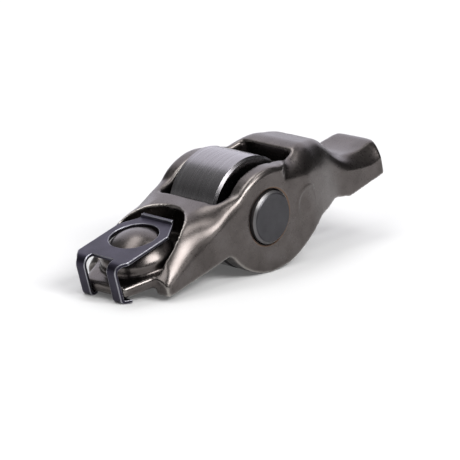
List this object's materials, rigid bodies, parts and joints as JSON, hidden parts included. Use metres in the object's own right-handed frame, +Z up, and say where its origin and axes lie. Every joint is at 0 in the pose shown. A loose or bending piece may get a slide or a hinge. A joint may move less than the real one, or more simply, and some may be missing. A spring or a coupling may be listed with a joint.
{
  "type": "rocker arm",
  "caption": "Pressed steel finger rocker arm: domed ball socket with a spring clip at one end, needle-bearing cam roller in its window, guided valve pad at the other.",
  "frame": {"origin": "centre of the roller axis, midway between the side walls", "axes": "+X towards the valve pad, +Z up as the arm lies on a bench, on its two curved lobes and the feet of the clip; the web slopes down towards the socket by 15.2 degrees"},
  "size_m": [0.0588, 0.018, 0.0174],
  "materials": {
    "arm_steel": "dark satin, heat-treated pressing",
    "roller_steel": "fine circumferential grinding",
    "pin_steel": "dark satin end face",
    "clip_steel": "blued spring steel, satin",
    "needle_steel": "polished"
  },
  "bodies": {
    "arm_body": {"arm": "arm_steel", "axle_pin": "pin_steel", "socket_clip": "clip_steel"},
    "roller_ring": {"roller": "roller_steel"},
    "needle_set": {"needle_01": "needle_steel", "needle_02": "needle_steel", "needle_03": "needle_steel", "needle_04": "needle_steel", "needle_05": "needle_steel", "needle_06": "needle_steel", "needle_07": "needle_steel", "needle_08": "needle_steel", "needle_09": "needle_steel", "needle_10": "needle_steel", "needle_11": "needle_steel", "needle_12": "needle_steel", "needle_13": "needle_steel", "needle_14": "needle_steel", "needle_15": "needle_steel", "needle_16": "needle_steel", "needle_17": "needle_steel", "needle_18": "needle_steel"}
  },
  "joints": [
    {"name": "roller_spin", "type": "hinge", "parent": "arm_body", "child": "roller_ring", "pos_m": [0, 0, 0], "axis": [0, 1, 0], "continuous": true},
    {"name": "needle_orbit", "type": "hinge", "parent": "arm_body", "child": "needle_set", "pos_m": [0, 0, 0], "axis": [0, 1, 0], "continuous": true}
  ],
  "couplings": [
    {"joint": "needle_orbit", "follows": "roller_spin", "ratio": 0.584}
  ]
}
